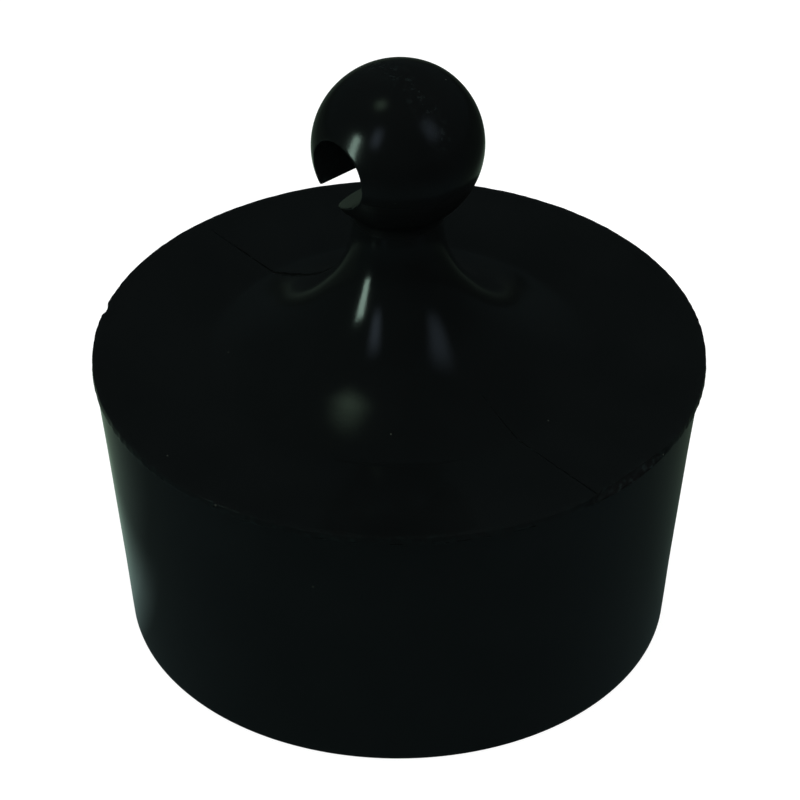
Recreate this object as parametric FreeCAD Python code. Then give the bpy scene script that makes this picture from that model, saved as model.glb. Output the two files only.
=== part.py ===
"""A rubber drain stopper: a tapered plug to close the outlet, a flared top and a hook ball to lift it by.

Millimetres, +Z up. The origin is the middle of the underside. The hole through the ball runs along Y, and the
slot that makes a hook of the ball opens towards -X.
"""

import FreeCAD, Part
import math
import os

# Tapered plug, from its underside up to the seam below the rim.
PLUG_TOP_DIAMETER = 44.6
UNDERSIDE_DIAMETER = 40.0
PLUG_HEIGHT = 21.6
LOWER_EDGE_CHAMFER = 0.15

# Flared top: a flange over the whole plug, which stands out over the wall as a thin rim. It is flat as far as
# the foot of the flare, which sweeps up, bends more tightly and runs out in the waist of the neck. The flare
# is four tangent arcs, and the slopes are where one goes over into the next.
RIM_OVERHANG = 0.35
FLANGE_THICKNESS = 0.65
FLARE_FOOT_RADIUS = 1.75
FLARE_SWEEP_RADIUS = 27.0
FLARE_BEND_RADIUS = 3.0
FLARE_NECK_RADIUS = 11.5
FLARE_SWEEP_START_DEGREES = 22.2
FLARE_BEND_START_DEGREES = 42.5
FLARE_NECK_START_DEGREES = 56.0

# Hook ball on the upper stretch of the neck, with a small fillet between the two.
NECK_DIAMETER = 6.65
NECK_LENGTH = 0.33
NECK_FILLET_RADIUS = 1.0
BALL_DIAMETER = 12.5

# The hook's opening: a round hole just below the middle of the ball, and a slot that slopes down to the side.
HOLE_DIAMETER = 5.2
HOLE_DROP = 0.25
SLOT_WIDTH = 1.65
SLOT_DROP = 1.27
SLOT_SLOPE_DEGREES = 34.5

UP = FreeCAD.Vector(0, 0, 1)
ALONG_HOLE = FreeCAD.Vector(0, 1, 0)
LEVEL_DEGREES = 0.0
UPRIGHT_DEGREES = 90.0
FULL_TURN_DEGREES = 360.0

# The flare's arcs from the flange to the waist: radius, slope at the start, slope at the end.
FLARE_ARCS = (
    (FLARE_FOOT_RADIUS, LEVEL_DEGREES, FLARE_SWEEP_START_DEGREES),
    (FLARE_SWEEP_RADIUS, FLARE_SWEEP_START_DEGREES, FLARE_BEND_START_DEGREES),
    (FLARE_BEND_RADIUS, FLARE_BEND_START_DEGREES, FLARE_NECK_START_DEGREES),
    (FLARE_NECK_RADIUS, FLARE_NECK_START_DEGREES, UPRIGHT_DEGREES),
)


def at(radius, height):
    """A point of a turned outline, in the XZ plane."""
    return FreeCAD.Vector(radius, 0, height)


def rise(arc_radius, start_slope, end_slope):
    """From the start of a hollow arc to its end: inwards to the axis, and upwards."""
    start = math.radians(start_slope)
    end = math.radians(end_slope)
    inwards = math.sin(start) - math.sin(end)
    upwards = math.cos(start) - math.cos(end)
    return at(arc_radius * inwards, arc_radius * upwards)


# Where the sections meet, the flare's foot, and the ball's middle, set so that the fillet touches the ball.
FLANGE_TOP = PLUG_HEIGHT + FLANGE_THICKNESS
FLARE_RISE = sum((rise(*arc) for arc in FLARE_ARCS), at(0, 0))
FLARE_FOOT = at(NECK_DIAMETER / 2 - FLARE_RISE.x, FLANGE_TOP)
WAIST = FLANGE_TOP + FLARE_RISE.z
NECK_TOP = WAIST + NECK_LENGTH
FILLET_ACROSS = NECK_DIAMETER / 2 + NECK_FILLET_RADIUS
BALL_MIDDLE = NECK_TOP + math.sqrt((BALL_DIAMETER / 2 + NECK_FILLET_RADIUS) ** 2 - FILLET_ACROSS ** 2)
HOLE_MIDDLE = BALL_MIDDLE - HOLE_DROP


def line(start, end):
    """A straight edge of an outline."""
    return Part.makeLine(start, end)


def turned(edges):
    """The solid that a closed outline sweeps when it turns once about the Z axis."""
    return Part.Face(Part.Wire(edges)).revolve(at(0, 0), UP, FULL_TURN_DEGREES)


def tapered_plug():
    """The cone that wedges in the outlet, with its lower edge broken by a small chamfer."""
    cone = Part.makeCone(UNDERSIDE_DIAMETER / 2, PLUG_TOP_DIAMETER / 2, PLUG_HEIGHT)
    lower_edge = [edge for edge in cone.Edges if edge.BoundBox.ZMax < PLUG_HEIGHT / 2]
    return cone.makeChamfer(LOWER_EDGE_CHAMFER, lower_edge)


def flare_edges():
    """The sweep from the flange, where it starts level, to the waist, where it is upright."""
    edges = []
    start = FLARE_FOOT
    for arc_radius, start_slope, end_slope in FLARE_ARCS:
        middle = start + rise(arc_radius, start_slope, (start_slope + end_slope) / 2)
        end = start + rise(arc_radius, start_slope, end_slope)
        edges.append(Part.Arc(start, middle, end).toShape())
        start = end
    return edges


def flared_top():
    """Flange and flare in one turned outline, from the seam on the plug to the waist of the neck."""
    rim = PLUG_TOP_DIAMETER / 2 + RIM_OVERHANG
    outline = [
        line(at(0, PLUG_HEIGHT), at(rim, PLUG_HEIGHT)),
        line(at(rim, PLUG_HEIGHT), at(rim, FLANGE_TOP)),
        line(at(rim, FLANGE_TOP), FLARE_FOOT),
        *flare_edges(),
        line(at(NECK_DIAMETER / 2, WAIST), at(0, WAIST)),
        line(at(0, WAIST), at(0, PLUG_HEIGHT)),
    ]
    return turned(outline)


def hook_opening():
    """What is cut from the ball: the hole along Y and the sloping slot that opens it towards -X."""
    reach = BALL_DIAMETER
    hole = Part.makeCylinder(HOLE_DIAMETER / 2, 2 * reach, FreeCAD.Vector(0, -reach, HOLE_MIDDLE), ALONG_HOLE)
    slot_floor = HOLE_MIDDLE - SLOT_DROP - SLOT_WIDTH / 2
    slot = Part.makeBox(reach, 2 * reach, SLOT_WIDTH, FreeCAD.Vector(-reach, -reach, slot_floor))
    slot.rotate(at(0, HOLE_MIDDLE), ALONG_HOLE, -SLOT_SLOPE_DEGREES)
    return hole.fuse(slot)


def hook_ball():
    """The neck above the waist, its fillet and the ball, with the hook's opening cut through."""
    neck = NECK_DIAMETER / 2
    radius = BALL_DIAMETER / 2
    middle = at(0, BALL_MIDDLE)
    crown = middle + at(0, radius)
    fillet_centre = at(FILLET_ACROSS, NECK_TOP)
    neck_end = at(neck, NECK_TOP)
    ball_start = middle + (fillet_centre - middle).normalize() * radius
    to_fillet_middle = ((neck_end + ball_start) * 0.5 - fillet_centre).normalize()
    fillet_middle = fillet_centre + to_fillet_middle * NECK_FILLET_RADIUS
    outline = [
        line(at(0, WAIST), at(neck, WAIST)),
        line(at(neck, WAIST), neck_end),
        Part.Arc(neck_end, fillet_middle, ball_start).toShape(),
        Part.Arc(ball_start, middle + at(radius, 0), crown).toShape(),
        line(crown, at(0, WAIST)),
    ]
    return turned(outline).cut(hook_opening())


def main():
    """Build the three sections and write one file for each."""
    os.makedirs("parts", exist_ok=True)
    for section in (tapered_plug, flared_top, hook_ball):
        shape = section()
        shape.exportStep("parts/" + section.__name__ + ".step")
        print(section.__name__, len(shape.Solids), "solid, valid:", shape.isValid())


main()
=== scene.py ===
"""A black rubber drain stopper with a hook ball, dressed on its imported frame.

Metres, +Z up, the origin in the middle of the underside. The hole through the ball runs along Y, the slot opens
towards -X, and the moulds of the upper part met in a plane close to XZ.
"""

import math

import bpy
import numpy as np
from bpy.props import FloatProperty, FloatVectorProperty, PointerProperty
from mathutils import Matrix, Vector


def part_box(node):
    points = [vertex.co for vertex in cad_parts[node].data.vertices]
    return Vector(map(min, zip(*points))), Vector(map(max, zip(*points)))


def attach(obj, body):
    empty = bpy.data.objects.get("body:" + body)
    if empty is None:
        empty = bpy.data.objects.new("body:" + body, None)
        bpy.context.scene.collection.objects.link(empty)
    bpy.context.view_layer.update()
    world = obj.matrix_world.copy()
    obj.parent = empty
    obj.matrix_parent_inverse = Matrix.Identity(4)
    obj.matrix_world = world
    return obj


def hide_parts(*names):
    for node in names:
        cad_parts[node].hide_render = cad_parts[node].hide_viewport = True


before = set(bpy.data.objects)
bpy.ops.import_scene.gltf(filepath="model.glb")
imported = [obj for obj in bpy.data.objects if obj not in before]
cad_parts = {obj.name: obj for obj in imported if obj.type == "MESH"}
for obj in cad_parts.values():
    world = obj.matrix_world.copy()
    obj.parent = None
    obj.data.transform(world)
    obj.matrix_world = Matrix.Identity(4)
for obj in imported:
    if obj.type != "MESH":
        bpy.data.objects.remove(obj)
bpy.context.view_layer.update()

bl_info = {
    "name": "Drain stopper",
    "version": (1, 0, 0),
    "blender": (4, 5, 0),
    "location": "3D View > Sidebar > Stopper",
    "description": "Dresses a moulded rubber drain stopper with a hook ball",
    "category": "Add Mesh",
}

MM = 0.001
BODY = "root"
PLUG_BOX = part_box("tapered_plug")
FLARE_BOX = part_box("flared_top")
BALL_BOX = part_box("hook_ball")

# Where the rim is marked, in degrees about the axis from +X towards +Y.
TRIMMED, TRIMMED_HALF = 7.25, 10.75
NICK = -144.5
TAGS = (-95.5, -75.5, 85.9, 103.5)
WIDEST = 49.5

# How deep the nick is, and how finely the pieces are divided.
NICK_DEPTH = 0.2 * MM
PLUG_COLUMNS = 480
RIM_COLUMNS = 900
RIDGE_STEP = 0.12 * MM
HOOK_VOXEL = 0.1 * MM

# How far the floor reaches from the middle, and how far the lamps stand from the ball, in metres.
FLOOR_HALF = 4.0
LAMP_DISTANCE = 0.5


def length(name, description, millimetres):
    """A size that can be set in the sidebar."""
    return FloatProperty(name=name, description=description, default=millimetres * MM, unit="LENGTH", precision=5)


def slope(name, description, degrees):
    """An angle that can be set in the sidebar."""
    return FloatProperty(name=name, description=description, default=math.radians(degrees), subtype="ANGLE")


def linear(hex_colour):
    """An sRGB hex colour as linear red, green, blue and alpha."""
    parts = [int(hex_colour[i:i + 2], 16) / 255 for i in (1, 3, 5)]
    return [p / 12.92 if p <= 0.04045 else ((p + 0.055) / 1.055) ** 2.4 for p in parts] + [1.0]


def colour(name, description, hex_colour):
    """A colour that can be set in the sidebar."""
    return FloatVectorProperty(name=name, description=description, default=linear(hex_colour), size=4,
                               subtype="COLOR", min=0, max=1)


class StopperSizes(bpy.types.PropertyGroup):
    """Sizes of the stopper. Those that its box gives come from the frame."""

    underside_radius: length("Underside radius", "Radius of the flat underside, before its edge is broken", 20.0)
    plug_top_radius: length("Plug top radius", "Radius of the wall at the seam below the rim", PLUG_BOX[1].x / MM)
    plug_height: length("Plug height", "From the underside to the seam below the rim", PLUG_BOX[1].z / MM)
    edge_break: length("Edge break", "Rounding of the lower edge", 0.22)
    rim_radius: length("Rim radius", "Outermost radius of the flange", FLARE_BOX[1].x / MM)
    runout: length("Run-out", "How far the flange runs out of true", 0.08)
    flange: length("Flange", "Thickness of the flange between seam and land", 0.65)
    foot_curve: length("Foot curve", "Hollow radius at the foot of the flare", 1.75)
    sweep_curve: length("Sweep curve", "Hollow radius of the long sweep of the flare", 31.4)
    bend_curve: length("Bend curve", "Hollow radius of the bend above the sweep", 14.6)
    neck_curve: length("Neck curve", "Hollow radius where the flare becomes the neck", 9.9)
    sweep_start: slope("Sweep start", "Slope where the sweep starts", 21.5)
    bend_start: slope("Bend start", "Slope where the bend starts", 28.4)
    neck_start: slope("Neck start", "Slope where the neck starts", 55.0)
    neck_radius: length("Neck radius", "Radius of the neck at its waist", 3.325)
    waist_height: length("Waist height", "Height of the neck's waist", FLARE_BOX[1].z / MM)
    ball_radius: length("Ball radius", "Radius of the ball", BALL_BOX[1].x / MM)
    ball_sag: FloatProperty(name="Ball sag", description="How far the hook's side of the ball hangs, per length",
                            default=0.04)
    ball_height: length("Ball height", "Height of the ball's middle", (BALL_BOX[1].z - BALL_BOX[1].x) / MM)
    hole_radius: length("Hole radius", "Radius of the hole through the ball", 2.6)
    hole_drop: length("Hole drop", "How far the hole's axis lies below the ball's middle", 0.25)
    tip_drop: length("Tip drop", "From the hole's axis down to the face of the hook's tip", 0.445)
    tip_slope: slope("Tip slope", "How steeply the tip's face falls towards the outside", 34.5)
    floor_slope: slope("Floor slope", "How steeply the slot's floor falls towards the outside", 31.5)
    upper_neck: length("Upper neck", "Hollow radius of the neck above its waist", 4.0)
    neck_fillet: length("Neck fillet", "Softness of the corner between neck and ball", 0.75)
    hook_edge: length("Hook edge", "Break of the edges of the hole and the slot", 0.12)
    parting: length("Parting", "Where the moulds of the upper part met, along Y", -0.5)
    mould_line: length("Mould line", "Width of the ridge where the moulds of the upper part met", 0.15)


class StopperFinish(bpy.types.PropertyGroup):
    """Colours and gloss of the rubber."""

    rubber: colour("Rubber", "Carbon-black rubber in its darkest places", "#080A0A")
    bloom: colour("Bloom", "Faint grey bloom on the rubber", "#0D1010")
    scuff: colour("Scuff", "Rubber that is scuffed or torn along an edge", "#1A2827")
    # Near-black partly as painted shade: it stands for the shade in the groove along the mould line.
    tear_and_shade: colour("Tear", "Rubber where it tore along a seam", "#020303")
    dust: colour("Dust", "Specks of dust", "#3C423A")
    gloss: FloatProperty(name="Gloss", description="Roughness of the moulded skin", default=0.1, min=0, max=1)


class StopperStudio(bpy.types.PropertyGroup):
    """Camera, lamps and surroundings."""

    distance: length("Camera distance", "From the camera to the point that it looks at", 405.0)
    aim_height: length("Aim height", "Height on the stopper's axis that the camera looks at", 17.84)
    azimuth: slope("Azimuth", "Direction of the camera from the axis, from +X towards +Y", -40.5)
    elevation: slope("Elevation", "Height of the camera above the horizon", 36.22)
    lens: FloatProperty(name="Lens", description="Focal length in millimetres", default=246.6)
    shift: FloatProperty(name="Shift", description="Sideways shift of the lens", default=0.0025)
    ambient: FloatProperty(name="Ambient", description="Level of the soft light from all round", default=0.85)


def add(tree, kind, values=None, **settings):
    """Add one node with its settings. A value that is a node or a socket is linked, any other is set."""
    node = tree.nodes.new(kind)
    for name, setting in settings.items():
        setattr(node, name, setting)
    for key, value in (values or {}).items():
        if isinstance(value, bpy.types.Node):
            value = next(socket for socket in value.outputs if socket.enabled)
        if isinstance(value, bpy.types.NodeSocket):
            tree.links.new(value, node.inputs[key])
        else:
            node.inputs[key].default_value = value
    return node


def material_tree(name):
    """A new material and its empty tree."""
    material = bpy.data.materials.new(name)
    material.use_nodes = True
    material.node_tree.nodes.clear()
    return material, material.node_tree


def moulded_rubber(context):
    """Black EPDM rubber, pressed in a polished mould: a deep black skin with a clear, slightly greasy gloss."""
    name = "EPDM rubber, moulded"
    if name in bpy.data.materials:
        return bpy.data.materials[name]
    finish = context.scene.stopper_finish
    parting = context.scene.stopper_sizes.parting
    material, tree = material_tree(name)
    place = add(tree, "ShaderNodeTexCoord").outputs["Object"]
    xyz = add(tree, "ShaderNodeSeparateXYZ", {0: place}).outputs
    # Bloom, wax that works its way out of the rubber, lies in soft clouds a few millimetres wide.
    cloud = add(tree, "ShaderNodeTexNoise", {"Vector": place, "Scale": 1 / (6 * MM), "Detail": 4.0})
    tone = add(tree, "ShaderNodeMix", {0: cloud, 6: finish.rubber, 7: finish.bloom}, data_type="RGBA")
    # Edges that are handled are scuffed in flecks of a third of a millimetre.
    wear = add(tree, "ShaderNodeAttribute", attribute_name="wear").outputs["Fac"]
    flecks = add(tree, "ShaderNodeTexNoise", {"Vector": place, "Scale": 1 / (0.35 * MM), "Detail": 3.0})
    fleck = add(tree, "ShaderNodeMapRange", {0: flecks, 1: 0.48, 2: 0.7, 3: 0.0, 4: 1.0})
    # Where the moulds met over the ball, the ridge was rubbed off, which leaves a dull band two millimetres wide.
    off_line = add(tree, "ShaderNodeMath", {0: xyz["Y"], 1: parting}, operation="SUBTRACT")
    beside = add(tree, "ShaderNodeMath", {0: off_line}, operation="ABSOLUTE")
    band = add(tree, "ShaderNodeMapRange", {0: beside, 1: 0.3 * MM, 2: 1.3 * MM, 3: 1.0, 4: 0.0})
    high = add(tree, "ShaderNodeMapRange", {0: xyz["Z"], 1: 42 * MM, 2: 44.5 * MM, 3: 0.0, 4: 1.0})
    rubbed = add(tree, "ShaderNodeMath", {0: band, 1: high}, operation="MULTIPLY")
    patchy = add(tree, "ShaderNodeMath", {0: rubbed, 1: fleck}, operation="MULTIPLY")
    soft_patch = add(tree, "ShaderNodeMath", {0: patchy, 1: 0.4}, operation="MULTIPLY")
    dull = add(tree, "ShaderNodeMath", {0: soft_patch, 1: wear}, operation="MAXIMUM")
    scuffed = add(tree, "ShaderNodeMath", {0: dull, 1: fleck}, operation="MULTIPLY")
    worn = add(tree, "ShaderNodeMix", {0: scuffed, 6: tone, 7: finish.scuff}, data_type="RGBA")
    # Dust lies in single specks of a tenth of a millimetre, one in each few square millimetres.
    cells = add(tree, "ShaderNodeTexVoronoi", {"Vector": place, "Scale": 1 / (2.4 * MM)})
    near = add(tree, "ShaderNodeMath", {0: cells.outputs["Distance"], 1: 0.022}, operation="LESS_THAN")
    chance = add(tree, "ShaderNodeSeparateXYZ", {0: cells.outputs["Color"]}).outputs["X"]
    some = add(tree, "ShaderNodeMath", {0: chance, 1: 0.5}, operation="GREATER_THAN")
    speck = add(tree, "ShaderNodeMath", {0: near, 1: some}, operation="MULTIPLY")
    skin = add(tree, "ShaderNodeMix", {0: speck, 6: worn, 7: finish.dust}, data_type="RGBA")
    smooth = add(tree, "ShaderNodeMapRange", {0: cloud, 1: 0.3, 2: 0.7, 3: finish.gloss, 4: finish.gloss + 0.04})
    worn_gloss = add(tree, "ShaderNodeMath", {0: dull, 1: 0.4, 2: smooth}, operation="MULTIPLY_ADD")
    # The ball is gripped and rubbed by its ring, so its skin is duller than the flare's.
    gripped = add(tree, "ShaderNodeMapRange", {0: xyz["Z"], 1: 37 * MM, 2: 40 * MM, 3: 0.0, 4: 0.055})
    held_gloss = add(tree, "ShaderNodeMath", {0: worn_gloss, 1: gripped}, operation="ADD")
    # Under the ball, where no cloth reaches, a dry film takes the gloss away.
    over_waist = add(tree, "ShaderNodeMapRange", {0: xyz["Z"], 1: 34.2 * MM, 2: 34.8 * MM, 3: 0.0, 4: 1.0})
    below_ball = add(tree, "ShaderNodeMapRange", {0: xyz["Z"], 1: 38.2 * MM, 2: 39.6 * MM, 3: 1.0, 4: 0.0})
    unworn = add(tree, "ShaderNodeMapRange", {0: wear, 1: 0.0, 2: 0.2, 3: 1.0, 4: 0.0})
    under_ball = add(tree, "ShaderNodeMath", {0: over_waist, 1: below_ball}, operation="MULTIPLY")
    film = add(tree, "ShaderNodeMath", {0: under_ball, 1: unworn}, operation="MULTIPLY")
    roughness = add(tree, "ShaderNodeMath", {0: film, 1: 0.3, 2: held_gloss}, operation="MULTIPLY_ADD")
    lost_sheen = add(tree, "ShaderNodeMath", {0: film, 1: wear}, operation="MAXIMUM")
    sheen = add(tree, "ShaderNodeMapRange", {0: lost_sheen, 1: 0.0, 2: 1.0, 3: 0.5, 4: 0.15})
    # The skin has a grain of a quarter of a millimetre, far flatter than it is wide.
    grain = add(tree, "ShaderNodeTexNoise", {"Vector": place, "Scale": 1 / (0.25 * MM), "Detail": 2.0})
    bump = add(tree, "ShaderNodeBump", {"Height": grain, "Strength": 0.05, "Distance": 0.05 * MM})
    shader = add(tree, "ShaderNodeBsdfPrincipled",
                 {"Base Color": skin, "Roughness": roughness, "Normal": bump, "IOR": 1.5,
                  "Specular IOR Level": sheen})
    add(tree, "ShaderNodeOutputMaterial", {"Surface": shader})
    return material


def torn_rubber(context):
    """EPDM rubber torn at the mould's seam: matt, paler in flecks where it tore, near-black as painted groove shade.
    """
    name = "EPDM rubber, torn flash"
    if name in bpy.data.materials:
        return bpy.data.materials[name]
    finish = context.scene.stopper_finish
    material, tree = material_tree(name)
    place = add(tree, "ShaderNodeTexCoord").outputs["Object"]
    # Tearing leaves flecks of a fifth of a millimetre. Between them, the near-black is painted shade
    # of the groove along the seam.
    flecks = add(tree, "ShaderNodeTexNoise", {"Vector": place, "Scale": 1 / (0.2 * MM), "Detail": 3.0})
    fleck = add(tree, "ShaderNodeMapRange", {0: flecks, 1: 0.6, 2: 0.75, 3: 0.0, 4: 1.0})
    torn = add(tree, "ShaderNodeMix", {0: fleck, 6: finish.tear_and_shade, 7: finish.scuff}, data_type="RGBA")
    # Where a thick tag of flash was pulled off, the stretched rubber is pale.
    swell = add(tree, "ShaderNodeAttribute", attribute_name="swell").outputs["Fac"]
    tag = add(tree, "ShaderNodeMapRange", {0: swell, 1: 2.4, 2: 2.8, 3: 0.0, 4: 0.8})
    tone = add(tree, "ShaderNodeMix", {0: tag, 6: torn, 7: finish.dust}, data_type="RGBA")
    shader = add(tree, "ShaderNodeBsdfPrincipled", {"Base Color": tone, "Roughness": 0.6, "Specular IOR Level": 0.2})
    add(tree, "ShaderNodeOutputMaterial", {"Surface": shader})
    return material


def hollow_arc(radius, start, end, steps):
    """Steps along an arc of the flare, as moves inwards and upwards from its start."""
    angles = np.linspace(start, end, steps + 1)[1:]
    inwards = radius * (np.sin(angles) - math.sin(start))
    upwards = radius * (math.cos(start) - np.cos(angles))
    return np.stack([inwards, upwards], axis=1)


def flare_outline(sizes):
    """The flare from its foot on the land up to the waist, as radius and height."""
    points = [np.array([[0, sizes.plug_height + sizes.flange]])]
    for radius, start, end, steps in (
        (sizes.foot_curve, 0.0, sizes.sweep_start, 8),
        (sizes.sweep_curve, sizes.sweep_start, sizes.bend_start, 14),
        (sizes.bend_curve, sizes.bend_start, sizes.neck_start, 26),
        (sizes.neck_curve, sizes.neck_start, math.pi / 2, 26),
    ):
        points.append(points[-1][-1] + hollow_arc(radius, start, end, steps) * (-1, 1))
    outline = np.concatenate(points)
    outline[:, 0] += sizes.neck_radius - outline[-1, 0]
    return np.concatenate([outline, [[sizes.neck_radius, sizes.waist_height]]])


def rounded(corners, steps=4):
    """An outline through corners of radius, height and rounding, with each corner rounded."""
    points = []
    for i, (x, z, rounding) in enumerate(corners):
        here = Vector((x, z))
        if rounding == 0:
            points.append(here)
            continue
        before = (Vector(corners[i - 1][:2]) - here).normalized()
        after = (Vector(corners[i + 1][:2]) - here).normalized()
        half = before.angle(after) / 2
        middle = here + (before + after).normalized() * rounding / math.sin(half)
        start = here + before * rounding / math.tan(half) - middle
        end = here + after * rounding / math.tan(half) - middle
        for k in range(steps + 1):
            points.append(middle + start.slerp(end, k / steps) * rounding)
    return np.array(points)


def spaced(start, end, count):
    """Points between two points of an outline, without the points themselves."""
    shares = np.linspace(0, 1, count + 2)[1:-1, None]
    return np.asarray(start) * (1 - shares) + np.asarray(end) * shares


def ease(value, start, end):
    """From 0 at the start to 1 at the end, with a soft beginning and end."""
    share = np.clip((value - start) / (end - start), 0, 1)
    return share * share * (3 - 2 * share)


def ragged(degrees, count, seed):
    """Uneven values from 0 to 1 round the axis, the same each time."""
    values = np.random.default_rng(seed).random(count)
    return np.interp(degrees, np.arange(count) * 360 / count, values, period=360)


def away_from(degrees, place):
    """How many degrees lie between a place on the rim and each angle."""
    return np.abs((degrees - place + 180) % 360 - 180)


def trimmed_back(degrees, start, end):
    """1 where the rim was trimmed, falling to 0 between two distances from the ends of that stretch."""
    return 1 - ease(away_from(degrees, TRIMMED), TRIMMED_HALF + start, TRIMMED_HALF + end)


def nicked(degrees):
    """1 in the nick of the rim, falling to 0 beside it."""
    return 1 - ease(away_from(degrees, NICK), 0.6, 2.2)


def turned(name, outline, columns, shape):
    """A mesh turned from an outline that starts and ends on the axis, shaped and worn further by angle."""
    inner = outline[1:-1]
    degrees = np.arange(columns) * 360 / columns
    radius = np.repeat(inner[:, :1], columns, axis=1)
    height = np.repeat(inner[:, 1:], columns, axis=1)
    radius, height, wear = shape(degrees[None, :], radius, height)
    angles = np.radians(degrees)
    rings = np.stack([radius * np.cos(angles), radius * np.sin(angles), height], axis=2).reshape(-1, 3)
    vertices = np.concatenate([[[0, 0, outline[0, 1]]], rings, [[0, 0, outline[-1, 1]]]])
    ring = np.arange(columns)
    after = (ring + 1) % columns
    faces = [(0, 1 + b, 1 + a) for a, b in zip(ring, after)]
    for row in range(len(inner) - 1):
        low = 1 + row * columns
        faces += [(low + a, low + b, low + columns + b, low + columns + a) for a, b in zip(ring, after)]
    low = 1 + (len(inner) - 1) * columns
    faces += [(low + a, low + b, len(vertices) - 1) for a, b in zip(ring, after)]
    mesh = bpy.data.meshes.new(name)
    mesh.from_pydata(vertices.tolist(), [], faces)
    mesh.update()
    values = np.concatenate([[0], wear.ravel(), [0]])
    mesh.attributes.new("wear", "FLOAT", "POINT").data.foreach_set("value", values)
    return mesh


def piece(name, mesh, material, *nodes):
    """Put a finished mesh in the scene, riding on the body and standing for CAD nodes."""
    obj = bpy.data.objects.new(name, mesh)
    bpy.context.scene.collection.objects.link(obj)
    mesh.shade_smooth()
    mesh.set_sharp_from_angle(angle=math.radians(40))
    mesh.materials.clear()
    mesh.materials.append(material)
    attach(obj, BODY)
    if nodes:
        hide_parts(*nodes)


class STOPPER_OT_plug(bpy.types.Operator):
    """Make the tapered plug that wedges in the outlet"""

    bl_idname = "stopper.plug"
    bl_label = "Tapered plug"

    def execute(self, context):
        sizes = context.scene.stopper_sizes
        edge = rounded([
            (0, 0, 0),
            (sizes.underside_radius, 0, sizes.edge_break),
            (sizes.plug_top_radius, sizes.plug_height, 0),
        ])
        wall = spaced(edge[-2], edge[-1], 28)
        outline = np.concatenate([edge[:-1], wall, edge[-1:], [[0, sizes.plug_height]]])

        def worn_wall(degrees, radius, height):
            # The wall bulges and shrinks by hundredths of a millimetre, and is scuffed where it wedges.
            share = ease(height, 0.5 * MM, 6 * MM) * (1 - ease(height, 15 * MM, 21 * MM))
            radius = radius - share * (0.03 + 0.05 * ragged(degrees, 14, 3)) * MM
            wear = 0.1 * ease(height, 20.2 * MM, 21.5 * MM) + 0.2 * (1 - ease(height, 0.1 * MM, 0.6 * MM))
            return radius, height, wear * np.ones_like(radius)

        mesh = turned("plug_body", outline, PLUG_COLUMNS, worn_wall)
        piece("plug_body", mesh, moulded_rubber(context), "tapered_plug")
        return {"FINISHED"}


class STOPPER_OT_flared_top(bpy.types.Operator):
    """Make the flange, the land and the flare up to the waist of the neck"""

    bl_idname = "stopper.flared_top"
    bl_label = "Flared top"

    def execute(self, context):
        sizes = context.scene.stopper_sizes
        lip = sizes.rim_radius - sizes.runout
        seam = sizes.plug_height
        land = seam + sizes.flange
        flare = flare_outline(sizes)
        edge = rounded([
            (0, seam, 0),
            (lip - 0.02 * MM, seam + 0.02 * MM, 0.05 * MM),
            (lip, seam + 0.25 * MM, 0.03 * MM),
            (lip - 0.03 * MM, land, 0.012 * MM),
            (flare[0, 0], land, 0),
        ])
        flat = spaced(edge[-2], edge[-1], 14)
        outline = np.concatenate([edge[:-1], flat, flare, [[0, flare[-1, 1]]]])

        def marked_rim(degrees, radius, height):
            # The rim runs out of true, was trimmed back in one place, and has a nick and a ragged edge.
            at_rim = ease(radius, lip - 0.7 * MM, lip - 0.15 * MM)
            at_edge = ease(radius, lip - 0.4 * MM, lip - 0.12 * MM)
            upper = ease(height, seam + 0.15 * MM, seam + 0.4 * MM)
            trimmed = trimmed_back(degrees, -5, 2)
            out = sizes.runout * np.cos(np.radians(degrees - WIDEST)) - 0.05 * MM * ragged(degrees, 300, 5)
            cut = trimmed * upper * (0.3 + 0.25 * ragged(degrees, 90, 11)) * MM
            wear = np.maximum(at_edge * 0.2, at_rim * trimmed * (0.9 - 0.5 * upper))
            return radius + at_rim * (out - cut - NICK_DEPTH * nicked(degrees)), height, wear

        mesh = turned("flared_top_body", outline, RIM_COLUMNS, marked_rim)
        piece("flared_top_body", mesh, moulded_rubber(context), "flared_top")
        return {"FINISHED"}


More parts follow.
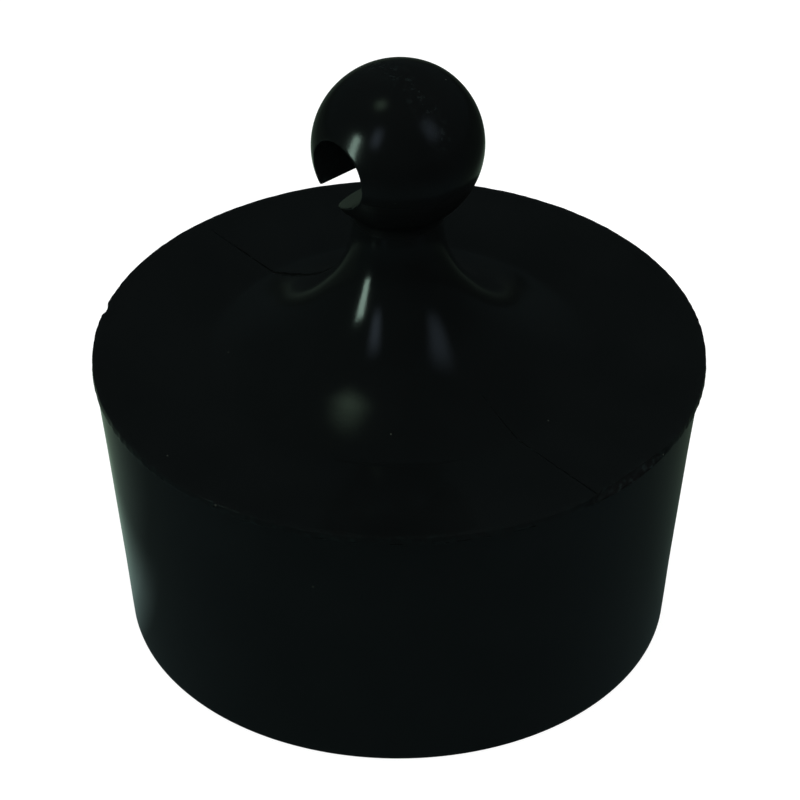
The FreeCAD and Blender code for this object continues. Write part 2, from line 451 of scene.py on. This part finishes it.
def ridge_tree():
    """A tree that lays an uneven ridge along the edges of a mesh."""
    tree = bpy.data.node_groups.new("Seam ridge", "GeometryNodeTree")
    for label, kind in (("Path", "Geometry"), ("Thickness", "Float"), ("Straying", "Float"), ("Grain", "Float"),
                        ("Seed", "Float"), ("Material", "Material")):
        tree.interface.new_socket(label, in_out="INPUT", socket_type="NodeSocket" + kind)
    tree.interface.new_socket("Geometry", in_out="OUTPUT", socket_type="NodeSocketGeometry")
    size = add(tree, "NodeGroupInput").outputs
    path = add(tree, "GeometryNodeMeshToCurve", {"Mesh": size["Path"]})
    even = add(tree, "GeometryNodeResampleCurve", {"Curve": path, "Length": RIDGE_STEP}, mode="LENGTH")
    place = add(tree, "GeometryNodeInputPosition")
    density = add(tree, "ShaderNodeMath", {0: 1.0, 1: size["Grain"]}, operation="DIVIDE")
    noise = add(tree, "ShaderNodeTexNoise", {"Vector": place, "W": size["Seed"], "Scale": density, "Detail": 2.0},
                noise_dimensions="4D")
    centred = add(tree, "ShaderNodeVectorMath", {0: noise.outputs["Color"], 1: (0.5, 0.5, 0.5)}, operation="SUBTRACT")
    stray = add(tree, "ShaderNodeVectorMath", {0: centred, "Scale": size["Straying"]}, operation="SCALE")
    strayed = add(tree, "GeometryNodeSetPosition", {"Geometry": even, "Offset": stray})
    swell = add(tree, "GeometryNodeInputNamedAttribute", {"Name": "swell"}, data_type="FLOAT")
    uneven = add(tree, "ShaderNodeMapRange", {0: noise, 1: 0.35, 2: 0.65, 3: 0.4, 4: 1.0})
    thick = add(tree, "ShaderNodeMath", {0: uneven, 1: swell}, operation="MULTIPLY")
    section = add(tree, "GeometryNodeCurvePrimitiveCircle", {"Resolution": 8, "Radius": size["Thickness"]})
    ridge = add(tree, "GeometryNodeCurveToMesh", {"Curve": strayed, "Profile Curve": section, "Scale": thick,
                                                  "Fill Caps": True})
    real = add(tree, "GeometryNodeRealizeInstances", {0: ridge})
    done = add(tree, "GeometryNodeSetMaterial", {"Geometry": real, "Material": size["Material"]})
    add(tree, "NodeGroupOutput", {0: done})
    return tree


def path_mesh(name, runs):
    """A mesh of bare edges along runs of points, each point with how much the ridge swells there."""
    vertices, edges, swells = [], [], []
    for points, swell in runs:
        first = len(vertices)
        vertices += np.asarray(points).tolist()
        edges += [(i, i + 1) for i in range(first, len(vertices) - 1)]
        swells += list(swell)
    mesh = bpy.data.meshes.new(name)
    mesh.from_pydata(vertices, edges, [])
    mesh.attributes.new("swell", "FLOAT", "POINT").data.foreach_set("value", swells)
    return mesh


def grown(name, tree, mesh, inputs):
    """The plain mesh that a tree makes from a mesh, with the tree's named inputs set."""
    host = bpy.data.objects.new(name, mesh)
    bpy.context.scene.collection.objects.link(host)
    modifier = host.modifiers.new(name, "NODES")
    modifier.node_group = tree
    for item in tree.interface.items_tree:
        if item.name in inputs:
            modifier[item.identifier] = inputs[item.name]
    depsgraph = bpy.context.evaluated_depsgraph_get()
    plain = bpy.data.meshes.new_from_object(host.evaluated_get(depsgraph))
    bpy.data.objects.remove(host)
    if not plain.polygons:
        raise RuntimeError(name + " came out empty")
    plain.name = name
    return plain


class STOPPER_OT_seams(bpy.types.Operator):
    """Make the flash round the rim and the ridge where the moulds of the upper part met"""

    bl_idname = "stopper.seams"
    bl_label = "Flash and mould line"

    def execute(self, context):
        sizes = context.scene.stopper_sizes
        material = torn_rubber(context)
        tree = ridge_tree()
        for name, path, thickness, straying, grain, seed in (
            ("rim_flash", self.rim_path(sizes), 0.05 * MM, 0.09 * MM, 0.8 * MM, 3.0),
            ("mould_line", self.mould_path(sizes), sizes.mould_line / 2, 0.04 * MM, 0.6 * MM, 8.0),
        ):
            mesh = grown(name, tree, path, {"Thickness": thickness, "Straying": straying, "Grain": grain,
                                            "Seed": seed, "Material": material})
            piece(name, mesh, material)
        return {"FINISHED"}

    def rim_path(self, sizes):
        """Round the lip, just above the seam, thicker at the tags."""
        degrees = np.linspace(0, 360, 721)
        angles = np.radians(degrees)
        tag = sum(1 - ease(away_from(degrees, place), 0.15, 0.7) for place in TAGS)
        lip = sizes.rim_radius - sizes.runout * (1 - np.cos(np.radians(degrees - WIDEST)))
        radius = lip - NICK_DEPTH * nicked(degrees) - (0.06 + 0.05 * tag) * MM
        height = sizes.plug_height + (0.16 + 0.38 * tag) * MM
        swell = 0.75 - 0.65 * trimmed_back(degrees, 1.25, 5.25) + 2.2 * tag
        points = np.stack([radius * np.cos(angles), radius * np.sin(angles), height], axis=1)
        return path_mesh("rim_path", [(points, swell)])

    def mould_path(self, sizes):
        """From the rim over land and flare to the waist, at the front and at the back."""
        flare = flare_outline(sizes)
        start = [sizes.rim_radius - 0.35 * MM, flare[0, 1]]
        outline = np.concatenate([[start], spaced(start, flare[0], 30), flare])
        along = np.sqrt(outline[:, 0] ** 2 - sizes.parting ** 2)
        height = outline[:, 1] - 0.03 * MM
        # How much the ridge swells at distances from the axis in millimetres, which differs front and back.
        distances = (6, 9, 10.5, 12.5, 15, 18, 21)
        front = (0.0, 0.0, 0.7, 1.1, 1.0, 1.0, 1.0)
        back = (1.2, 2.1, 2.4, 2.4, 1.9, 1.2, 0.7)
        runs = []
        for side, swell in ((1, front), (-1, back)):
            points = np.stack([side * along, np.full_like(along, sizes.parting), height], axis=1)
            runs.append((points, np.interp(outline[:, 0] / MM, distances, swell)))
        return path_mesh("mould_path", runs)


def hook_tree(sizes):
    """A tree that makes the hook ball as a solid with broken edges: ball and neck, less hole and slot."""
    tree = bpy.data.node_groups.new("Hook ball", "GeometryNodeTree")
    for label in ("Ball Radius", "Ball Height", "Neck Radius", "Waist Height", "Hole Radius", "Hole Height",
                  "Tip Drop", "Tip Slope", "Floor Slope", "Upper Neck", "Neck Fillet", "Hook Edge", "Sag"):
        tree.interface.new_socket(label, in_out="INPUT", socket_type="NodeSocketFloat")
    tree.interface.new_socket("Material", in_out="INPUT", socket_type="NodeSocketMaterial")
    tree.interface.new_socket("Geometry", in_out="OUTPUT", socket_type="NodeSocketGeometry")
    size = add(tree, "NodeGroupInput").outputs
    place = add(tree, "GeometryNodeInputPosition")
    xyz = add(tree, "ShaderNodeSeparateXYZ", {0: place}).outputs
    hook_side = add(tree, "ShaderNodeMath", {0: xyz["X"], 1: 0.0}, operation="MINIMUM")
    centre = add(tree, "ShaderNodeMath", {0: hook_side, 1: size["Sag"], 2: size["Ball Height"]},
                 operation="MULTIPLY_ADD")
    middle = add(tree, "ShaderNodeCombineXYZ", {"Z": centre})
    to_middle = add(tree, "ShaderNodeVectorMath", {0: place, 1: middle}, operation="DISTANCE")
    ball = add(tree, "ShaderNodeMath", {0: to_middle, 1: size["Ball Radius"]}, operation="SUBTRACT")
    level = add(tree, "ShaderNodeVectorMath", {0: place, 1: (1, 1, 0)}, operation="MULTIPLY")
    to_axis = add(tree, "ShaderNodeVectorMath", {0: level}, operation="LENGTH")
    over_waist = add(tree, "ShaderNodeMath", {0: xyz["Z"], 1: size["Waist Height"]}, operation="SUBTRACT")
    raised = add(tree, "ShaderNodeMath", {0: over_waist, 1: 0.0}, operation="MAXIMUM")
    squared = add(tree, "ShaderNodeMath", {0: raised, 1: raised}, operation="MULTIPLY")
    widening = add(tree, "ShaderNodeMath", {0: squared, 1: size["Upper Neck"]}, operation="DIVIDE")
    lowered = add(tree, "ShaderNodeMath", {0: over_waist, 1: 0.0}, operation="MINIMUM")
    tapered = add(tree, "ShaderNodeMath", {0: lowered, 1: 0.4, 2: size["Neck Radius"]}, operation="MULTIPLY_ADD")
    neck_here = add(tree, "ShaderNodeMath", {0: widening, 1: 0.5, 2: tapered}, operation="MULTIPLY_ADD")
    column = add(tree, "ShaderNodeMath", {0: to_axis, 1: neck_here}, operation="SUBTRACT")
    above = add(tree, "ShaderNodeMath", {0: over_waist, 1: 2 * MM}, operation="SUBTRACT")
    neck = add(tree, "ShaderNodeMath", {0: column, 1: above}, operation="MAXIMUM")
    whole = add(tree, "ShaderNodeMath", {0: ball, 1: neck, 2: size["Neck Fillet"]}, operation="SMOOTH_MIN")
    below = add(tree, "ShaderNodeMath", {0: -0.3 * MM, 1: over_waist}, operation="SUBTRACT")
    body = add(tree, "ShaderNodeMath", {0: whole, 1: below}, operation="MAXIMUM")
    over_hole = add(tree, "ShaderNodeMath", {0: xyz["Z"], 1: size["Hole Height"]}, operation="SUBTRACT")
    in_hole = add(tree, "ShaderNodeCombineXYZ", {"X": xyz["X"], "Z": over_hole})
    to_hole = add(tree, "ShaderNodeVectorMath", {0: in_hole}, operation="LENGTH")
    hole = add(tree, "ShaderNodeMath", {0: to_hole, 1: size["Hole Radius"]}, operation="SUBTRACT")
    # The slot lies below the tip's face and above a floor that runs out of the hole's wall without a step.
    tip_way = add(tree, "ShaderNodeVectorRotate", {"Vector": in_hole, "Angle": size["Tip Slope"]},
                  rotation_type="Y_AXIS")
    tip = add(tree, "ShaderNodeSeparateXYZ", {0: tip_way}).outputs
    over_tip = add(tree, "ShaderNodeMath", {0: tip["Z"], 1: size["Tip Drop"]}, operation="ADD")
    floor_way = add(tree, "ShaderNodeVectorRotate", {"Vector": in_hole, "Angle": size["Floor Slope"]},
                    rotation_type="Y_AXIS")
    floor = add(tree, "ShaderNodeSeparateXYZ", {0: floor_way}).outputs
    over_floor = add(tree, "ShaderNodeMath", {0: floor["Z"], 1: size["Hole Radius"]}, operation="ADD")
    in_floor = add(tree, "ShaderNodeMath", {0: over_floor, 1: -1.0}, operation="MULTIPLY")
    between = add(tree, "ShaderNodeMath", {0: over_tip, 1: in_floor}, operation="MAXIMUM")
    gap = add(tree, "ShaderNodeMath", {0: between, 1: tip["X"]}, operation="MAXIMUM")
    opening = add(tree, "ShaderNodeMath", {0: hole, 1: gap, 2: size["Hook Edge"]}, operation="SMOOTH_MIN")
    outside = add(tree, "ShaderNodeMath", {0: opening, 1: -1.0}, operation="MULTIPLY")
    hook = add(tree, "ShaderNodeMath", {0: body, 1: outside, 2: size["Hook Edge"]}, operation="SMOOTH_MAX")
    density = add(tree, "ShaderNodeMath", {0: 0.0, 1: hook}, operation="SUBTRACT")
    reach = sizes.ball_radius + 0.4 * MM
    low = (-reach, -reach, sizes.waist_height - 0.7 * MM)
    high = (reach, reach, sizes.ball_height + reach)
    counts = [round((b - a) / HOOK_VOXEL) for a, b in zip(low, high)]
    cube = add(tree, "GeometryNodeVolumeCube",
               {"Density": density, "Background": -1.0, "Min": low, "Max": high,
                "Resolution X": counts[0], "Resolution Y": counts[1], "Resolution Z": counts[2]})
    skin = add(tree, "GeometryNodeVolumeToMesh", {"Volume": cube, "Threshold": 0.0})
    inside = add(tree, "ShaderNodeMapRange", {0: opening, 1: 0.0, 2: 0.15 * MM, 3: 0.3, 4: 0.0})
    worn = add(tree, "GeometryNodeStoreNamedAttribute", {"Geometry": skin, "Name": "wear", "Value": inside})
    real = add(tree, "GeometryNodeRealizeInstances", {0: worn})
    done = add(tree, "GeometryNodeSetMaterial", {"Geometry": real, "Material": size["Material"]})
    add(tree, "NodeGroupOutput", {0: done})
    return tree


class STOPPER_OT_hook(bpy.types.Operator):
    """Make the ball with its hole and slot, and the neck above the waist"""

    bl_idname = "stopper.hook"
    bl_label = "Hook ball"

    def execute(self, context):
        sizes = context.scene.stopper_sizes
        material = moulded_rubber(context)
        mesh = grown("hook_body", hook_tree(sizes), bpy.data.meshes.new("hook_host"), {
            "Ball Radius": sizes.ball_radius, "Ball Height": sizes.ball_height, "Sag": sizes.ball_sag,
            "Neck Radius": sizes.neck_radius, "Waist Height": sizes.waist_height,
            "Upper Neck": sizes.upper_neck, "Neck Fillet": sizes.neck_fillet,
            "Hole Radius": sizes.hole_radius, "Hole Height": sizes.ball_height - sizes.hole_drop,
            "Tip Drop": sizes.tip_drop, "Tip Slope": sizes.tip_slope, "Floor Slope": sizes.floor_slope,
            "Hook Edge": sizes.hook_edge, "Material": material})
        piece("hook_body", mesh, material, "hook_ball")
        return {"FINISHED"}


def studio_direction(studio, right, near, up):
    """A direction given as seen from the camera: to the right, towards the camera, and up."""
    near_way = Vector((math.cos(studio.azimuth), math.sin(studio.azimuth), 0))
    right_way = Vector((-near_way.y, near_way.x, 0))
    return (right_way * right + near_way * near + Vector((0, 0, up))).normalized()


class STOPPER_OT_stage(bpy.types.Operator):
    """Make the floor, the surroundings, the lamps and the camera"""

    bl_idname = "stopper.stage"
    bl_label = "Stage"

    def execute(self, context):
        studio = context.scene.stopper_studio
        self.floor(studio)
        self.world(context, studio)
        middle = Vector((0, 0, context.scene.stopper_sizes.ball_height))
        for name, direction, size, radiance, edge, tint in (
            ("window_left", (-0.87, 0.46, 0.185), (0.1, 0.31), 5.9, 0.15, "#D9FFED"),
            ("window_near", (-0.47, 0.68, 0.57), (0.17, 0.34), 0.6, 0.45, "#CFE6FF"),
            ("window_right", (0.66, 0.41, 0.6), (0.27, 0.38), 0.33, 0.45, "#CFE6FF"),
            ("overhead", (-0.34, 0.04, 0.94), (0.19, 0.19), 0.68, 0.5, "#D6FFDC"),
        ):
            self.lamp(name, middle, studio_direction(studio, *direction), size, radiance, edge, tint)
        self.camera(context, studio)
        return {"FINISHED"}

    def floor(self, studio):
        """A floor that is white for the camera, and a faint, uneven painted reflection where the rubber mirrors it.
        """
        mesh = bpy.data.meshes.new("floor")
        corners = [(x * FLOOR_HALF, y * FLOOR_HALF, 0) for x, y in ((-1, -1), (1, -1), (1, 1), (-1, 1))]
        mesh.from_pydata(corners, [], [(0, 1, 2, 3)])
        material, tree = material_tree("Painted board, matt white")
        path = add(tree, "ShaderNodeLightPath").outputs
        paint = add(tree, "ShaderNodeBsdfDiffuse", {"Color": linear("#959595")})
        glow = add(tree, "ShaderNodeEmission", {"Strength": 0.87})
        lifted = add(tree, "ShaderNodeAddShader", {0: paint, 1: glow})
        seen = add(tree, "ShaderNodeMath", {0: path["Is Camera Ray"], 1: path["Is Transmission Ray"]},
                   operation="MAXIMUM")
        white = add(tree, "ShaderNodeMixShader", {0: seen, 1: paint, 2: lifted})
        # The floor as glossy rays see it is painted light: a glow, dim in front, brighter behind,
        # with a painted shadow of the stopper to its right, a painted bright strip beside its foot on the left,
        # and fading far off.
        place = add(tree, "ShaderNodeTexCoord").outputs["Object"]
        to_right = add(tree, "ShaderNodeVectorMath", {0: place, 1: studio_direction(studio, 1, 0, 0)},
                       operation="DOT_PRODUCT").outputs["Value"]
        to_back = add(tree, "ShaderNodeVectorMath", {0: place, 1: studio_direction(studio, 0, -1, 0)},
                      operation="DOT_PRODUCT").outputs["Value"]
        lit_spot = studio_direction(studio, -0.24, -0.97, 0) * 20.6 * MM
        away = add(tree, "ShaderNodeVectorMath", {0: place, 1: lit_spot}, operation="DISTANCE").outputs["Value"]
        around = add(tree, "ShaderNodeMapRange", {0: away, 1: 25 * MM, 2: 62 * MM, 3: 1.0, 4: 0.0})
        behind = add(tree, "ShaderNodeMapRange", {0: to_back, 1: -2 * MM, 2: 20 * MM, 3: 0.0, 4: 1.0})
        unshaded = add(tree, "ShaderNodeMapRange", {0: to_right, 1: 0.0, 2: 25 * MM, 3: 1.0, 4: 0.12})
        past_shade = add(tree, "ShaderNodeMapRange", {0: to_back, 1: 20 * MM, 2: 60 * MM, 3: 0.0, 4: 1.0})
        open_floor = add(tree, "ShaderNodeMath", {0: unshaded, 1: past_shade}, operation="MAXIMUM")
        far_left = add(tree, "ShaderNodeMapRange", {0: to_right, 1: -35 * MM, 2: -12 * MM, 3: 0.35, 4: 1.0})
        lit_behind = add(tree, "ShaderNodeMath", {0: around, 1: behind}, operation="MULTIPLY")
        lit_open = add(tree, "ShaderNodeMath", {0: lit_behind, 1: open_floor}, operation="MULTIPLY")
        lit = add(tree, "ShaderNodeMath", {0: lit_open, 1: far_left}, operation="MULTIPLY")
        beside = add(tree, "ShaderNodeMapRange", {0: to_right, 1: -29 * MM, 2: -22 * MM, 3: 0.0, 4: 0.18},
                     interpolation_type="SMOOTHSTEP")
        past_front = add(tree, "ShaderNodeMapRange", {0: to_back, 1: -6 * MM, 2: -1 * MM, 3: 0.0, 4: 1.0})
        on_left = add(tree, "ShaderNodeMapRange", {0: to_right, 1: -20 * MM, 2: 0.0, 3: 1.0, 4: 0.0})
        left_foot = add(tree, "ShaderNodeMath", {0: beside, 1: past_front}, operation="MULTIPLY")
        left_near = add(tree, "ShaderNodeMath", {0: left_foot, 1: on_left}, operation="MULTIPLY")
        left_strip = add(tree, "ShaderNodeMath", {0: left_near, 1: around}, operation="MULTIPLY")
        bright = add(tree, "ShaderNodeMath", {0: lit, 1: 0.31, 2: left_strip}, operation="MULTIPLY_ADD")
        front_dim = add(tree, "ShaderNodeMapRange", {0: to_back, 1: -110 * MM, 2: -30 * MM, 3: 0.006, 4: 0.04})
        left_dim = add(tree, "ShaderNodeMapRange", {0: to_right, 1: -60 * MM, 2: 60 * MM, 3: 0.04, 4: -0.004})
        dim = add(tree, "ShaderNodeMath", {0: behind, 1: left_dim, 2: front_dim}, operation="MULTIPLY_ADD")
        far_off = add(tree, "ShaderNodeMapRange", {0: away, 1: 90 * MM, 2: 420 * MM, 3: 1.0, 4: 0.25},
                      interpolation_type="SMOOTHSTEP")
        aside = add(tree, "ShaderNodeMath", {0: to_right}, operation="ABSOLUTE")
        far_aside = add(tree, "ShaderNodeMapRange", {0: aside, 1: 38 * MM, 2: 90 * MM, 3: 1.0, 4: 0.3})
        far_dim = add(tree, "ShaderNodeMath", {0: far_off, 1: far_aside}, operation="MULTIPLY")
        greener = add(tree, "ShaderNodeMapRange", {0: to_back, 1: -14 * MM, 2: 16 * MM, 3: 0.0, 4: 1.0})
        tint = add(tree, "ShaderNodeMix", {0: greener, 6: linear("#D0FAFF"), 7: linear("#D8FFE2")}, data_type="RGBA")
        level = add(tree, "ShaderNodeMath", {0: dim, 1: far_dim, 2: bright}, operation="MULTIPLY_ADD")
        faint = add(tree, "ShaderNodeEmission", {"Color": tint, "Strength": level})
        shown = add(tree, "ShaderNodeMixShader", {0: path["Is Glossy Ray"], 1: white, 2: faint})
        under = add(tree, "ShaderNodeNewGeometry").outputs["Backfacing"]
        clear = add(tree, "ShaderNodeBsdfTransparent")
        surface = add(tree, "ShaderNodeMixShader", {0: under, 1: shown, 2: clear})
        add(tree, "ShaderNodeOutputMaterial", {"Surface": surface})
        mesh.materials.append(material)
        floor = bpy.data.objects.new("floor", mesh)
        bpy.context.scene.collection.objects.link(floor)

    def world(self, context, studio):
        """Surroundings that are white for the camera, soft light on the stopper, and faint where it mirrors them."""
        world = bpy.data.worlds.new("Surroundings")
        context.scene.world = world
        world.use_nodes = True
        tree = world.node_tree
        tree.nodes.clear()
        path = add(tree, "ShaderNodeLightPath").outputs
        way = add(tree, "ShaderNodeTexCoord").outputs["Generated"]
        to_back = add(tree, "ShaderNodeVectorMath", {0: way, 1: studio_direction(studio, 0, -1, 0)},
                      operation="DOT_PRODUCT").outputs["Value"]
        # The rubber mirrors a dim room: darkest on the camera's side, a little brighter behind the stopper.
        faint = add(tree, "ShaderNodeMapRange", {0: to_back, 1: -0.6, 2: 0.9, 3: 0.008, 4: 0.016})
        seen = add(tree, "ShaderNodeMath", {0: path["Is Camera Ray"], 1: path["Is Transmission Ray"]},
                   operation="MAXIMUM")
        level = add(tree, "ShaderNodeMix", {0: seen, 2: studio.ambient, 3: 1.0})
        strength = add(tree, "ShaderNodeMix", {0: path["Is Glossy Ray"], 2: level, 3: faint})
        tint = add(tree, "ShaderNodeMix", {0: path["Is Glossy Ray"], 6: linear("#FFFFFF"), 7: linear("#D0FAFF")},
                   data_type="RGBA")
        sky = add(tree, "ShaderNodeBackground", {"Color": tint, "Strength": strength})
        add(tree, "ShaderNodeOutputWorld", {"Surface": sky})

    def lamp(self, name, target, direction, size, radiance, edge, tint):
        """A rectangular lamp that points at the target."""
        light = bpy.data.lights.new(name, "AREA")
        light.shape = "RECTANGLE"
        light.size, light.size_y = size
        light.energy = radiance * math.pi * size[0] * size[1]
        light.color = linear(tint)[:3]
        light.use_nodes = True
        tree = light.node_tree
        tree.nodes.clear()
        # The light fades towards the lamp's edges.
        across = add(tree, "ShaderNodeNewGeometry").outputs["Parametric"]
        centred = add(tree, "ShaderNodeVectorMath", {0: across, 1: (0.5, 0.5, 0.5)}, operation="SUBTRACT")
        off = add(tree, "ShaderNodeVectorMath", {0: centred}, operation="ABSOLUTE")
        xyz = add(tree, "ShaderNodeSeparateXYZ", {0: off}).outputs
        fades = [add(tree, "ShaderNodeMapRange", {0: xyz[axis], 1: 0.5 - edge, 2: 0.5, 3: 1.0, 4: 0.0},
                     interpolation_type="SMOOTHSTEP") for axis in "XY"]
        fade = add(tree, "ShaderNodeMath", {0: fades[0], 1: fades[1]}, operation="MULTIPLY")
        glow = add(tree, "ShaderNodeEmission", {"Strength": fade})
        add(tree, "ShaderNodeOutputLight", {"Surface": glow})
        lamp = bpy.data.objects.new(name, light)
        bpy.context.scene.collection.objects.link(lamp)
        lamp.location = target + direction * LAMP_DISTANCE
        lamp.rotation_euler = direction.to_track_quat("Z", "Y").to_euler()

    def camera(self, context, studio):
        """The camera, at the photograph's angle, and plain colours in its picture."""
        data = bpy.data.cameras.new("camera")
        data.lens = studio.lens
        data.sensor_width = 36.0
        data.shift_x = studio.shift
        data.clip_start, data.clip_end = 0.01, 20.0
        camera = bpy.data.objects.new("camera", data)
        context.scene.collection.objects.link(camera)
        back = studio_direction(studio, 0, math.cos(studio.elevation), math.sin(studio.elevation))
        camera.location = Vector((0, 0, studio.aim_height)) + back * studio.distance
        camera.rotation_euler = back.to_track_quat("Z", "Y").to_euler()
        context.scene.camera = camera
        context.scene.view_settings.view_transform = "Standard"


class STOPPER_PT_sidebar(bpy.types.Panel):
    """The stopper's pieces, sizes and finish"""

    bl_idname = "STOPPER_PT_sidebar"
    bl_label = "Drain stopper"
    bl_space_type = "VIEW_3D"
    bl_region_type = "UI"
    bl_category = "Stopper"

    def draw(self, context):
        for operator in OPERATORS:
            self.layout.operator(operator.bl_idname)
        for group in (context.scene.stopper_sizes, context.scene.stopper_finish, context.scene.stopper_studio):
            box = self.layout.box()
            for name in group.__annotations__:
                box.prop(group, name)


OPERATORS = (STOPPER_OT_plug, STOPPER_OT_flared_top, STOPPER_OT_seams, STOPPER_OT_hook, STOPPER_OT_stage)
GROUPS = {"stopper_sizes": StopperSizes, "stopper_finish": StopperFinish, "stopper_studio": StopperStudio}


def register():
    for cls in (*GROUPS.values(), *OPERATORS, STOPPER_PT_sidebar):
        bpy.utils.register_class(cls)
    for name, group in GROUPS.items():
        setattr(bpy.types.Scene, name, PointerProperty(type=group))


def unregister():
    for name in GROUPS:
        delattr(bpy.types.Scene, name)
    for cls in reversed((*GROUPS.values(), *OPERATORS, STOPPER_PT_sidebar)):
        bpy.utils.unregister_class(cls)


def main():
    register()
    for operator in OPERATORS:
        family, action = operator.bl_idname.split(".")
        getattr(getattr(bpy.ops, family), action)()


if __name__ == "__main__":
    main()
